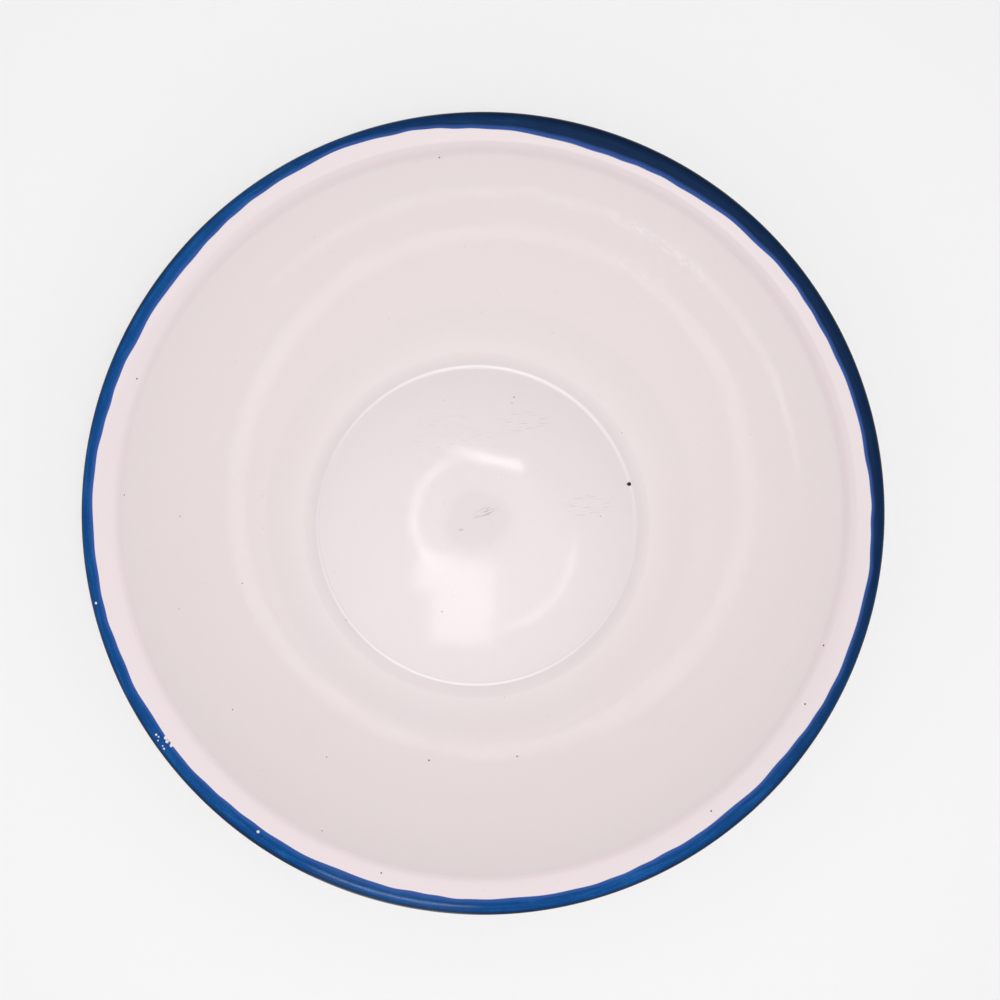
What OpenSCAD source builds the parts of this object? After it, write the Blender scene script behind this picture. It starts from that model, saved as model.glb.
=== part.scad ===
// Enamelled steel basin bowl with a rolled blue rim.
// One drawn steel sheet carries thin coats of enamel on both faces.
// The origin is on the table under the middle of the bowl, and +Z is up.

/* [Rim] */
// Width of the bowl over the rolled rim
rim_d = 260; // [230:1:320]
// Thickness of the rolled bead, enamel included
bead_d = 5.4; // [4.6:0.1:7]
// How far round the sheet is curled at the rim, in degrees
curl_turn = 290; // [250:1:296]
// Width of the flared lip, from the rim's edge in to the lip's corner
lip_w = 10.5; // [8.5:0.1:15]
// Drop from the top of the bead to the lip's corner
lip_drop = 4.6; // [3.6:0.1:7]
// Bend radius of the sheet at the lip's corner
lip_bend_r = 3.5; // [2:0.1:5]
// Width of the blue band, from the rim's edge in to where it ends on the lip
blue_w = 5.3; // [4.4:0.1:7]

/* [Wall] */
// Height of the bowl over everything
height = 78; // [60:1:110]
// Lean of the wall just below the lip, in degrees from level
wall_top_tilt = 69; // [60:1:84]
// Lean of the wall where it leaves the foot, in degrees from level
wall_low_tilt = 17; // [6:1:20]
// How full the wall's curve is, where a higher value is rounder
wall_fullness = 0.55; // [0.45:0.01:0.66]

/* [Foot] */
// Width of the flat floor that the bowl stands on
foot_d = 124; // [100:1:150]
// Height of the pressed step that makes the foot
step_h = 4.2; // [3:0.1:6]
// Width of the pressed step, seen from above
step_w = 5.4; // [4:0.1:8]
// Bend radius of the sheet at the bottom of the step
root_bend_r = 2.4; // [1.5:0.1:4]
// Bend radius of the sheet at the top of the step
shoulder_bend_r = 3; // [1.5:0.1:5]

/* [Sheet and enamel] */
// Thickness of the steel sheet
sheet_t = 0.7; // [0.5:0.05:1]
// Thickness of the dark ground coat on each face
ground_t = 0.14; // [0.12:0.01:0.2]
// Thickness of the white enamel on the inside
inner_white_t = 0.26; // [0.2:0.01:0.35]
// Thickness of the white enamel on the outside
outer_white_t = 0.24; // [0.2:0.01:0.35]
// Thickness of the blue enamel over the white at the rim
blue_t = 0.15; // [0.12:0.01:0.25]

/* [Hidden] */

// Steps in one small bend, in the curl and in the wall
bend_steps = 5;
curl_steps = 30;
wall_steps = 22;
$fn = 180;

// Distances of each coat's faces from the middle of the sheet, positive on the inside of the bowl
steel_in = sheet_t / 2;
ground_in = steel_in + ground_t;
white_in = ground_in + inner_white_t;
blue_in = white_in + blue_t;
steel_out = -sheet_t / 2;
ground_out = steel_out - ground_t;
white_out = ground_out - outer_white_t;

// Circle that the middle of the sheet follows inside the bead
bead_r = bead_d / 2;
curl_r = bead_r - blue_in;
// Part of the turn left after the curl that the enamel in the throat takes up
throat_share = 0.7;
bead_centre = [rim_d / 2 - bead_r, height - bead_r];

// The middle of the sheet where the bowl stands
stand_z = -white_out;

// A point that lies a distance away along a heading
function along(p, heading, distance) = p + distance * [cos(heading), sin(heading)];

function heading_to(a, b) = atan2(b[1] - a[1], b[0] - a[0]);

// A station is [radius, height, heading] of the sheet's middle, on its way from the axis to the rim.
// This one rounds the corner p, where the sheet turns from one heading to another.
function bend(p, heading_1, heading_2, radius) =
    let (turn = heading_2 - heading_1,
         side = sign(turn),
         start = along(p, heading_1, -radius * tan(abs(turn) / 2)),
         centre = along(start, heading_1 + 90 * side, radius))
    [for (i = [0 : bend_steps])
        let (h = heading_1 + turn * i / bend_steps, q = along(centre, h - 90 * side, radius))
        [q[0], q[1], h]];

// Where the line from a with heading_a meets the line that reaches b with heading_b
function reach_to_meeting(a, heading_a, b, heading_b) =
    let (gap = b - a)
    (gap[0] * sin(heading_b) - gap[1] * cos(heading_b)) / sin(heading_b - heading_a);

// A smooth curve from a to b that keeps the heading at each end
function sweep(a, heading_a, b, heading_b, fullness) =
    let (reach_a = reach_to_meeting(a, heading_a, b, heading_b),
         reach_b = reach_to_meeting(b, heading_b + 180, a, heading_a + 180),
         grip_a = along(a, heading_a, fullness * reach_a),
         grip_b = along(b, heading_b, -fullness * reach_b))
    [for (i = [1 : wall_steps - 1])
        let (t = i / wall_steps,
             s = 1 - t,
             p = pow(s, 3) * a + 3 * s * s * t * grip_a + 3 * s * t * t * grip_b + pow(t, 3) * b,
             way = s * s * (grip_a - a) + 2 * s * t * (grip_b - grip_a) + t * t * (b - grip_b))
        [p[0], p[1], atan2(way[1], way[0])]];

// Corners of the sheet, from the axis outwards
step_root = [foot_d / 2, stand_z];
shoulder = [foot_d / 2 + step_w, stand_z + step_h];
lip_corner = [rim_d / 2 - lip_w, height - lip_drop];

step_rise = heading_to(step_root, shoulder);

// The lip runs straight from its corner until it touches the curl
lip_to_curl = bead_centre - lip_corner;
lip_rise = heading_to(lip_corner, bead_centre) + asin(curl_r / norm(lip_to_curl));

shoulder_end = along(shoulder, wall_low_tilt,
                     shoulder_bend_r * tan(abs(step_rise - wall_low_tilt) / 2));
lip_start = along(lip_corner, wall_top_tilt,
                  -lip_bend_r * tan(abs(wall_top_tilt - lip_rise) / 2));

// The whole way from the middle of the floor to where the curl begins
wall_path = concat(
    [[0, stand_z, 0]],
    bend(step_root, 0, step_rise, root_bend_r),
    bend(shoulder, step_rise, wall_low_tilt, shoulder_bend_r),
    sweep(shoulder_end, wall_low_tilt, lip_start, wall_top_tilt, wall_fullness),
    bend(lip_corner, wall_top_tilt, lip_rise, lip_bend_r));

// The curl goes over the top, down the outside and back under the lip
function curl(from_heading, turn, steps) =
    [for (i = [0 : steps])
        let (h = from_heading - turn * i / steps, p = along(bead_centre, h + 90, curl_r))
        [p[0], p[1], h]];
curl_path = curl(lip_rise, curl_turn, curl_steps);

// The blue band begins on the straight of the lip
blue_edge_run = (rim_d / 2 - blue_w - lip_corner[0]) / cos(lip_rise);
blue_edge = along(lip_corner, lip_rise, blue_edge_run);
blue_path = concat([[blue_edge[0], blue_edge[1], lip_rise]], curl_path);

// The face that lies a distance from the sheet's middle
function face(path, distance) = [for (s = path) along([s[0], s[1]], s[2] + 90, distance)];

function backwards(points) = [for (i = [len(points) - 1 : -1 : 0]) points[i]];

// A layer between two faces of the sheet or its coats
module layer(path, from, to) {
    polygon(concat(face(path, from), backwards(face(path, to))));
}

// Enamel that fills the throat between the end of the curl and the underside of the lip
throat_path = curl(lip_rise - curl_turn, throat_share * (360 - curl_turn), bend_steps);
module throat() {
    difference() {
        layer(throat_path, steel_out, blue_in);
        layer(concat(wall_path, [curl_path[0]]), ground_out, blue_in);
    }
}

module turned() {
    rotate_extrude()
        children();
}

module steel_bowl() {
    color("slategray")
        turned()
            layer(concat(wall_path, curl_path), steel_out, steel_in);
}

module inner_ground_coat() {
    color("midnightblue")
        turned()
            layer(concat(wall_path, curl_path), steel_in, ground_in);
}

module outer_ground_coat() {
    color("midnightblue")
        turned()
            layer(concat(wall_path, [curl_path[0]]), ground_out, steel_out);
}

module inner_white_enamel() {
    color("ghostwhite")
        turned()
            layer(concat(wall_path, curl_path), ground_in, white_in);
}

module outer_white_enamel() {
    color("white")
        turned() {
            layer(concat(wall_path, [curl_path[0]]), white_out, ground_out);
            throat();
        }
}

module blue_rim_enamel() {
    color("royalblue")
        turned()
            layer(blue_path, white_in, blue_in);
}

steel_bowl();
inner_ground_coat();
outer_ground_coat();
inner_white_enamel();
outer_white_enamel();
blue_rim_enamel();
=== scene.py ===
"""Dresses the enamel basin bowl: its fired coats, its brushed blue rim, its flaws, the light and the camera.

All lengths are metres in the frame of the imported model, whose origin is on the table under the bowl's axis.
"""

import math
from typing import NamedTuple

import bpy
from bpy.props import FloatProperty, FloatVectorProperty, IntProperty, PointerProperty
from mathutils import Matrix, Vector


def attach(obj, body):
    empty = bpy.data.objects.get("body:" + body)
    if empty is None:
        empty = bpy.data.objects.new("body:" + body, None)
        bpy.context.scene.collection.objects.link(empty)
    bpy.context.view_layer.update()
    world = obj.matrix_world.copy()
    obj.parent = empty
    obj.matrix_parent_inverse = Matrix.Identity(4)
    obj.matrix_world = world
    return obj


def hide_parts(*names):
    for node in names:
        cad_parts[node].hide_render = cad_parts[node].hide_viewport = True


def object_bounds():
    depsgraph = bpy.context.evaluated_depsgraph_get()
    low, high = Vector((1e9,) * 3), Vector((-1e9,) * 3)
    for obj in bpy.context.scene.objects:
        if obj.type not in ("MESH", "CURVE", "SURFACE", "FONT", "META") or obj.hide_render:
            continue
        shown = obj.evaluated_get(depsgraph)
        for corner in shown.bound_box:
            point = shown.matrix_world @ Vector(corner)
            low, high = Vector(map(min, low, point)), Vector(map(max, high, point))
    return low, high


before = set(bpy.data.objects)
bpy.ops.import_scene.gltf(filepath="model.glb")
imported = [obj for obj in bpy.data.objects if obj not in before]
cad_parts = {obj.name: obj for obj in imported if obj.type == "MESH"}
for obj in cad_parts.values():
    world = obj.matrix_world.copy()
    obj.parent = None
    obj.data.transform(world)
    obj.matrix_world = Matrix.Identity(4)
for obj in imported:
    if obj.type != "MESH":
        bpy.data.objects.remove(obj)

bl_info = {
    "name": "Enamel Basin Bowl",
    "version": (1, 0, 0),
    "blender": (4, 5, 0),
    "location": "View3D > Sidebar > Bowl",
    "description": "Builds the visible coats of an enamelled basin bowl and a plain studio round it",
    "category": "Add Mesh",
}

MM = 0.001
CAD_LOW, CAD_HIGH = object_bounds()

# The coats ripple a little, so they are made this much smaller than the solids' box
RIPPLE_ROOM = 0.03 * MM
RIM_WIDTH = 2 * min(-CAD_LOW.x, CAD_HIGH.x, -CAD_LOW.y, CAD_HIGH.y) - 2 * RIPPLE_ROOM
BOWL_HEIGHT = CAD_HIGH.z - RIPPLE_ROOM


def length(name, description, default):
    """A property that holds a length in metres."""
    return FloatProperty(name=name, description=description, default=default,
                         unit="LENGTH", subtype="DISTANCE", precision=5)


def angle(name, description, degrees):
    """A property that holds an angle."""
    return FloatProperty(name=name, description=description, default=math.radians(degrees),
                         unit="ROTATION", subtype="ANGLE")


def colour(name, description, red, green, blue):
    """A property that holds a colour."""
    return FloatVectorProperty(name=name, description=description, default=(red, green, blue),
                               subtype="COLOR", size=3, min=0, max=1)


class BowlShape(bpy.types.PropertyGroup):
    """Sizes of the pressed sheet, the same as in the solids."""

    rim_width: length("Rim width", "Width over the rolled rim", RIM_WIDTH)
    height: length("Height", "Height over everything", BOWL_HEIGHT)
    bead: length("Bead", "Thickness of the rolled bead, enamel included", 5.4 * MM)
    curl: angle("Curl", "How far round the sheet is curled at the rim", 290)
    lip_width: length("Lip width", "From the rim's edge in to the lip's corner", 10.5 * MM)
    lip_drop: length("Lip drop", "From the top of the bead to the lip's corner", 4.6 * MM)
    lip_bend: length("Lip bend", "Bend radius at the lip's corner", 3.5 * MM)
    wall_top: angle("Wall top", "Lean of the wall below the lip, from level", 69)
    wall_low: angle("Wall low", "Lean of the wall where it leaves the foot, from level", 17)
    fullness: FloatProperty(name="Fullness", description="How full the wall's curve is",
                            default=0.55, min=0.45, max=0.66)
    foot_width: length("Foot width", "Width of the flat floor that it stands on", 124 * MM)
    step_height: length("Step height", "Height of the pressed step of the foot", 4.2 * MM)
    step_width: length("Step width", "Width of that step, seen from above", 5.4 * MM)
    root_bend: length("Root bend", "Bend radius at the bottom of the step", 2.4 * MM)
    shoulder_bend: length("Shoulder bend", "Bend radius at the top of the step", 3 * MM)


class BowlCoats(bpy.types.PropertyGroup):
    """Thickness of the sheet and of each fired coat."""

    sheet: length("Sheet", "Thickness of the steel", 0.7 * MM)
    ground: length("Ground coat", "Dark first coat on each face", 0.14 * MM)
    inner_white: length("Inner white", "White coat on the inside", 0.26 * MM)
    outer_white: length("Outer white", "White coat on the outside", 0.24 * MM)
    blue: length("Blue", "Blue coat over the white at the rim", 0.15 * MM)
    ripple: length("Ripple", "Height of the slow ripples in the fired enamel", 0.025 * MM)
    ripple_size: length("Ripple size", "Distance from one ripple to the next", 26 * MM)


class BowlRim(bpy.types.PropertyGroup):
    """The blue band, which is brushed on by hand."""

    edge: length("Edge", "Mean radius at which the band begins on the lip", 124.65 * MM)
    feather: length("Feather", "Width over which the band thins out to its edge", 1.1 * MM)
    reach: length("Reach", "How far from the edge its wandering dies away", 5 * MM)
    tremble: length("Tremble", "Height of the small unsteady waves in the edge", 0.16 * MM)


class BowlColours(bpy.types.PropertyGroup):
    """Colours of the enamels and of what lies under them."""

    white: colour("White", "Main colour of the white enamel", 0.85, 0.776, 0.786)
    white_warm: colour("Warm white", "Where the white has yellowed", 0.845, 0.772, 0.762)
    # A darker white on the floor and its step
    white_floor: colour("Floor white", "On the worn floor", 0.785, 0.72, 0.735)
    # Painted highlight along the bend round the floor
    painted_ring_highlight: colour("Pooled white", "In the bend round the floor", 0.99, 0.95, 0.955)
    # Painted shade on the lip, lighter on one side as painted light
    lip_painted_shade: colour("Lip white", "On the lip", 0.755, 0.66, 0.674)
    lip_painted_light: colour("Pale lip white", "On the lip's palest side", 0.825, 0.725, 0.74)
    # Grime in the scratches, and the painted dark reflection on the middle of the floor
    grime_and_dark_reflection: colour("Scratch", "Grime in the hairline scratches", 0.33, 0.29, 0.27)
    blue: colour("Blue", "Main colour of the rim", 0.001, 0.055, 0.215)
    blue_light: colour("Light blue", "Where the brush left the blue thin", 0.012, 0.12, 0.38)
    # Painted shade on the blue's dark side and outer flank, where the blue has also run thick; also dark
    # patches in the ground coat
    blue_thick_and_shaded: colour("Deep blue", "Where the blue has run thick, outside and below", 0.002, 0.01, 0.034)
    blue_violet: colour("Violet blue", "Where the blue thins out towards its edge", 0.04, 0.1, 0.36)
    blue_halo: colour("Halo", "Where the blue ends on the white", 0.2, 0.3, 0.58)
    ground: colour("Ground", "Ground coat, which shows in the flaws", 0.012, 0.013, 0.018)
    steel: colour("Steel", "Drawn sheet", 0.42, 0.43, 0.45)
    floor: colour("Floor", "The studio floor", 0.93, 0.93, 0.93)


class BowlSpecks(bpy.types.PropertyGroup):
    """Dark specks that are fired into the white enamel."""

    density: FloatProperty(name="Density", description="Specks on a square metre", default=900, min=0)
    smallest: length("Smallest", "Radius of the smallest speck", 0.05 * MM)
    largest: length("Largest", "Radius of the largest speck", 0.13 * MM)
    seed: IntProperty(name="Seed", description="Another seed gives other places", default=4)


class BowlStudio(bpy.types.PropertyGroup):
    """The camera, which looks straight down, and the floor and light."""

    camera_x: length("Camera X", "Place of the camera over the bowl", -12.18 * MM)
    camera_y: length("Camera Y", "Place of the camera over the bowl", -22.48 * MM)
    camera_z: length("Camera Z", "Height of the camera over the table", 427.8 * MM)
    lens: FloatProperty(name="Lens", description="Focal length in millimetres", default=39.17)
    shift_x: FloatProperty(name="Shift X", description="Sideways shift of the frame", default=0.0546)
    shift_y: FloatProperty(name="Shift Y", description="Upward shift of the frame", default=0.0829)
    sky: FloatProperty(name="Sky", description="Strength of the even light from all round", default=0.865)
    floor_radius: length("Floor", "Radius of the round floor", 3.0)


class Station(NamedTuple):
    """A place on the middle of the sheet, on its way from the axis to the end of the curl."""

    r: float
    z: float
    heading: float
    run: float = 0.0


class Row(NamedTuple):
    """One turned line of a coat: how far along the sheet it is and how far off the sheet's middle.

    Specks lie only where shown is 1. Slack is how far the row follows the brushed edge, and give is
    how much of the ripple it takes.
    """

    run: float
    off: float
    shown: float
    slack: float = 0.0
    give: float = 1.0


class Flaw(NamedTuple):
    """A chip or pit: its bearing in degrees, its distance from the axis, its radius and its depth."""

    bearing: float
    r: float
    radius: float
    depth: float


class Scuff(NamedTuple):
    """A patch of hairline scratches, with its lengths in millimetres and its turn in degrees."""

    x: float
    y: float
    turn: float
    half_length: float
    half_width: float
    line_width: float
    sparseness: float
    weight: float


class Oblong(NamedTuple):
    """An oblong patch of light: its middle, its turn in degrees and its size."""

    x: float
    y: float
    turn: float
    width: float
    height: float


class GlowRing(NamedTuple):
    """A glowing ring on the lamp's shade: its middle, its radius and its width.

    Its glow rises between two values of how nearly a place has the ring's brightest bearing.
    """

    x: float
    y: float
    radius: float
    width: float
    bearing: float
    rise_from: float
    rise_to: float
    strength: float
    rest: float


def flaws_of(depth, *spots):
    """Flaws of one depth, from their bearings in degrees and their distances and radii in millimetres."""
    return [Flaw(bearing, r * MM, radius * MM, depth * MM) for bearing, r, radius in spots]


# Chips in the blue, through which the white shows. A photographed cluster and two single spots.
BLUE_FLAWS = flaws_of(
    0.24,
    (215.30, 125.3, 0.64),
    (215.84, 125.6, 0.64),
    (216.67, 125.3, 0.58),
    (214.13, 127.1, 0.42),
    (214.57, 126.8, 0.32),
    (216.43, 127.7, 0.45),
    (216.00, 127.5, 0.29),
    (214.98, 127.7, 0.32),
    (234.75, 125.6, 0.58),
    (193.08, 128.0, 0.52),
)

# The black pinhole at the edge of the floor, and small pits among the chips of the rim
WHITE_FLAWS = flaws_of(0.34, (15.2, 61.9, 0.9), (215.55, 126.2, 0.22), (216.2, 125.0, 0.2))

# Three small marks under the foot, where the bowl rested on pins in the kiln. Their depth is upwards.
OUTER_FLAWS = flaws_of(-0.3, (70, 58.2, 0.8), (190, 57.8, 0.7), (310, 58.4, 0.9))

# Specks that the photograph shows: bearing in degrees, distance from the axis and radius in millimetres
PLACED_SPECKS = [
    (176.9, 117.7, 0.26),
    (179.5, 105.4, 0.24),
    (194.5, 90.4, 0.27),
    (196.8, 108.8, 0.18),
    (158.7, 120.5, 0.26),
    (217.7, 108.5, 0.25),
    (243.1, 116.9, 0.26),
    (254.2, 121.1, 0.26),
    (237.2, 100.9, 0.26),
    (258.3, 90.2, 0.36),
    (279.5, 88.4, 0.34),
    (307.5, 121.5, 0.28),
    (329.4, 121.3, 0.28),
    (338.9, 118.9, 0.3),
    (96.9, 117.8, 0.3),
    (248.2, 36.4, 0.23),
    (215.9, 63.0, 0.18),
    (73.7, 52.4, 0.24),
    (73.8, 49.9, 0.18),
    (32.4, 66.8, 0.16),
    (4.3, 48.8, 0.17),
]

# Slow waves of the band's edge round the rim: how many go round, their height and their bearing
EDGE_WAVES = [
    (1, 0.4 * MM, -150),
    (2, 0.7 * MM, -38),
    (3, 0.3 * MM, -30),
    (4, 0.4 * MM, 60),
    (5, 0.3 * MM, -150),
    (6, 0.3 * MM, -90),
]

# Bearings in degrees: where painted shade darkens the blue, where hands have kept the blue polished, and
# where the lip's painted light is brightest
SHADED_BEARING = 40
POLISHED_BEARING = 256.5
LIP_LIGHT_BEARING = 240

# Tints of the inside: the radius of the painted highlight in the bend round the floor and the bearing where
# it is brightest, then where the floor's darker white, the painted dark reflection in the middle and the
# lip's painted shade begin and are full
RING_HIGHLIGHT_RADIUS = 62.3 * MM
RING_HIGHLIGHT_BEARING = 80
FLOOR_TINT = (67 * MM, 61 * MM)
MIDDLE_REFLECTION = (15 * MM, 9 * MM)
LIP_SHADE_HEIGHTS = (70 * MM, 74.5 * MM)

# Length and width of the streaks that the brush left in the blue
STREAK_LENGTH = 14 * MM
STREAK_WIDTH = 0.45 * MM

# Height of a speck over its width, the colour of rust, and how much ripple the bead and the floor take
SPECK_FLATNESS = 0.16
RUST = (0.19, 0.07, 0.03)
BEAD_GIVE = 0.35
FLOOR_GIVE = 0.2

# Scuffs of the inside
FLOOR_SCUFFS = [
    Scuff(3.3, 5.2, 24, 6.5, 2.6, 0.55, 0.5, 0.62),
    Scuff(-6.1, -1.8, 10, 1.6, 0.9, 0.6, 0.42, 0.35),
    Scuff(43.0, 8.0, 2, 13, 6, 0.5, 0.57, 0.26),
    Scuff(18.0, 41.0, 1, 14, 6, 0.5, 0.57, 0.24),
    Scuff(-8.0, 36.0, 4, 26, 13, 0.5, 0.62, 0.17),
    Scuff(0.0, 0.0, 70, 60, 60, 0.35, 0.66, 0.13),
]

# Scuffs of the foot, all round and along
FOOT_SCUFFS = [
    Scuff(0.0, 0.0, 15, 64, 64, 0.4, 0.62, 0.28),
    Scuff(0.0, 0.0, 105, 64, 64, 0.5, 0.64, 0.22),
]

# A lamp hangs half a metre over the table, wide above and narrow below
LAMP_HEIGHT = 0.5
LAMP_BRIGHTNESS = 34.0
LAMP = {
    "lamp_wide": Oblong(-0.0045, -0.0178, -14, 0.067, 0.034),
    "lamp_narrow": Oblong(0.0017, -0.0517, -3, 0.054, 0.045),
}

# The lamp's dark shade, which the flat floor mirrors, with two glowing rings, the cloud between the
# second ring and the first one's hollow, a glowing strip, and a wide glow that grows along a bearing
SHADE_HEIGHT = 0.501
SHADE_RADIUS = 0.17
INNER_RING = GlowRing(0.0121, 0.0335, 0.051, 0.006, 172, 0.2, 0.9, 0.4, 0.13)
OUTER_RING = GlowRing(0.0257, 0.0097, 0.0714, 0.0045, -38, 0.55, 0.95, 0.5, 0.0)
CLOUD_EDGE = (0.081, 0.052)
CLOUD_HOLLOW = (0.018, 0.045)
STRIP_MIDDLE = (0.0189, 0.0845, SHADE_HEIGHT)
STRIP_TURN = -14
STRIP_SIDE = (0.0055, 0.0025)
STRIP_RIGHT = (0.038, 0.034)
STRIP_LEFT = (-0.045, 0.01)
GLOW_MIDDLE = (0.0142, 0.0263, SHADE_HEIGHT)
GLOW_BEARING = 250

# The lamp's face: its soft border, its brightness in its first mirror image, and what the wall shows of
# it by two mirrorings, with the brightness of that
FACE_BORDER = 7 * MM
FACE_ONCE = 0.4
TWICE_MIRRORED = Oblong(-0.012, -0.043, 0, 0.064, 0.054)
FACE_TWICE = 10.0

# How ragged a flaw is, and from what angle in degrees an edge of a coat is sharp
FLAW_RAGGEDNESS = 0.55
SHARP_ANGLE = 40

# How many places a coat has round the axis, before the finer ones at its flaws
WHITE_TURNS = 300
BLUE_TURNS = 560

# The longest step of the sheet's path, and its steps in a bend, in the wall and round the bead
PATH_STEP = 0.1 * MM
BEND_STEPS = 16
WALL_STEPS = 220
CURL_STEPS = 150


def along(point, heading, distance):
    """The point (r, z) a distance away from another along a heading in degrees."""
    turn = math.radians(heading)
    return (point[0] + distance * math.cos(turn), point[1] + distance * math.sin(turn))


def heading_to(a, b):
    """The heading from a to b, in degrees."""
    return math.degrees(math.atan2(b[1] - a[1], b[0] - a[0]))


def bend(corner, heading_1, heading_2, radius):
    """Stations that round a corner of the sheet."""
    turn = heading_2 - heading_1
    side = math.copysign(1, turn)
    start = along(corner, heading_1, -radius * math.tan(math.radians(abs(turn) / 2)))
    centre = along(start, heading_1 + 90 * side, radius)
    stations = []
    for i in range(BEND_STEPS + 1):
        heading = heading_1 + turn * i / BEND_STEPS
        stations.append(Station(*along(centre, heading - 90 * side, radius), heading))
    return stations


def reach_to_meeting(a, heading_a, b, heading_b):
    """How far from a, along heading_a, the line meets the one that reaches b with heading_b."""
    gap = (b[0] - a[0], b[1] - a[1])
    turn_a = math.radians(heading_a)
    turn_b = math.radians(heading_b)
    return (gap[0] * math.sin(turn_b) - gap[1] * math.cos(turn_b)) / math.sin(turn_b - turn_a)


def sweep(a, heading_a, b, heading_b, fullness):
    """Stations of a smooth curve from a to b that keeps the heading at each end."""
    reach_a = reach_to_meeting(a, heading_a, b, heading_b)
    reach_b = reach_to_meeting(b, heading_b + 180, a, heading_a + 180)
    grip_a = along(a, heading_a, fullness * reach_a)
    grip_b = along(b, heading_b, -fullness * reach_b)
    stations = []
    for i in range(1, WALL_STEPS):
        t = i / WALL_STEPS
        s = 1 - t
        r, z = (s ** 3 * a[k] + 3 * s * s * t * grip_a[k] + 3 * s * t * t * grip_b[k] + t ** 3 * b[k]
                for k in (0, 1))
        way_r, way_z = (s * s * (grip_a[k] - a[k]) + 2 * s * t * (grip_b[k] - grip_a[k])
                        + t * t * (b[k] - grip_b[k]) for k in (0, 1))
        stations.append(Station(r, z, math.degrees(math.atan2(way_z, way_r))))
    return stations


class Section:
    """The bowl cut through its axis: a path along the sheet's middle, and each coat's distance off it."""

    def __init__(self, shape, coats):
        self.steel = coats.sheet / 2
        self.ground = self.steel + coats.ground
        self.white_in = self.ground + coats.inner_white
        self.blue = self.white_in + coats.blue
        self.white_out = -self.ground - coats.outer_white
        self.bead_r = shape.bead / 2
        self.curl_r = self.bead_r - self.blue
        self.bead_centre = (shape.rim_width / 2 - self.bead_r, shape.height - self.bead_r)
        wall, lip_rise = self.wall_stations(shape)
        self.lip_rise = lip_rise
        self.path = self.with_runs(wall + self.curl_stations(lip_rise))
        self.curl_start = self.run_at_heading(lip_rise, last=True)
        self.curl_end = self.curl_start + self.curl_r * shape.curl
        self.foot = shape.foot_width / 2 + MM

    def wall_stations(self, shape):
        """Stations from the axis to where the curl begins, and the lip's heading."""
        stand_z = -self.white_out
        step_root = (shape.foot_width / 2, stand_z)
        shoulder = (step_root[0] + shape.step_width, stand_z + shape.step_height)
        lip_corner = (shape.rim_width / 2 - shape.lip_width, shape.height - shape.lip_drop)
        step_rise = heading_to(step_root, shoulder)
        wall_low = math.degrees(shape.wall_low)
        wall_top = math.degrees(shape.wall_top)
        lip_rise = heading_to(lip_corner, self.bead_centre)
        lip_rise += math.degrees(math.asin(self.curl_r / math.dist(lip_corner, self.bead_centre)))
        shoulder_run = shape.shoulder_bend * math.tan(math.radians(step_rise - wall_low) / 2)
        lip_run = shape.lip_bend * math.tan(math.radians(wall_top - lip_rise) / 2)
        stations = [Station(0.0, stand_z, 0.0)]
        stations += bend(step_root, 0, step_rise, shape.root_bend)
        stations += bend(shoulder, step_rise, wall_low, shape.shoulder_bend)
        stations += sweep(along(shoulder, wall_low, shoulder_run), wall_low,
                          along(lip_corner, wall_top, -lip_run), wall_top, shape.fullness)
        stations += bend(lip_corner, wall_top, lip_rise, shape.lip_bend)
        return stations, lip_rise

    def curl_stations(self, lip_rise):
        """Stations once round the bead. The sheet stops before the end, and enamel fills the rest."""
        stations = []
        for i in range(CURL_STEPS + 1):
            heading = lip_rise - 360 * i / CURL_STEPS
            stations.append(Station(*along(self.bead_centre, heading + 90, self.curl_r), heading))
        return stations

    def with_runs(self, stations):
        """The same path with short steps on its straights, each station with its run from the axis."""
        path = [stations[0]]
        for last, this in zip(stations, stations[1:]):
            gap = math.dist(last[:2], this[:2])
            steps = max(1, math.ceil(gap / PATH_STEP))
            start = path[-1].run
            for i in range(1, steps + 1):
                t = i / steps
                r, z, heading = (a + (b - a) * t for a, b in zip(last[:3], this[:3]))
                path.append(Station(r, z, heading, start + gap * t))
        return path

    def run_at_heading(self, heading, last=False):
        """The run of the first or last station of the lip's straight."""
        runs = [s.run for s in self.path if abs(s.heading - heading) < 1e-6]
        return runs[-1] if last else runs[0]

    def station_at_radius(self, r, off):
        """The first place from the axis where the face off the sheet's middle reaches a radius."""
        for last, this in zip(self.path, self.path[1:]):
            r_0 = along(last[:2], last.heading + 90, off)[0]
            r_1 = along(this[:2], this.heading + 90, off)[0]
            if r_0 <= r <= r_1 and r_1 > r_0:
                t = (r - r_0) / (r_1 - r_0)
                return Station(*(a + (b - a) * t for a, b in zip(last, this)))
        raise RuntimeError(f"the section has no place at a radius of {r}")

    def point_on(self, bearing, r, off):
        """A point on a face of the bowl, from its bearing in degrees and its distance from the axis."""
        station = self.station_at_radius(r, off)
        z = along(station[:2], station.heading + 90, off)[1]
        turn = math.radians(bearing)
        return Vector((r * math.cos(turn), r * math.sin(turn), z))


def runs_between(section, start, end, longest, sharpest, fine=()):
    """Stations from start to end, closer together where the sheet bends and in the fine zones.

    A fine zone is (run of its middle, half its width, longest step in it).
    """
    inside = [s for s in section.path if start <= s.run <= end]
    chosen = [inside[0]]
    for station in inside[1:]:
        steps = [step for middle, half, step in fine if abs(station.run - middle) < half]
        far = station.run - chosen[-1].run >= min([longest] + steps) - PATH_STEP / 2
        if far or abs(station.heading - chosen[-1].heading) >= sharpest:
            chosen.append(station)
    if chosen[-1].run < inside[-1].run:
        chosen.append(inside[-1])
    return chosen


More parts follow.
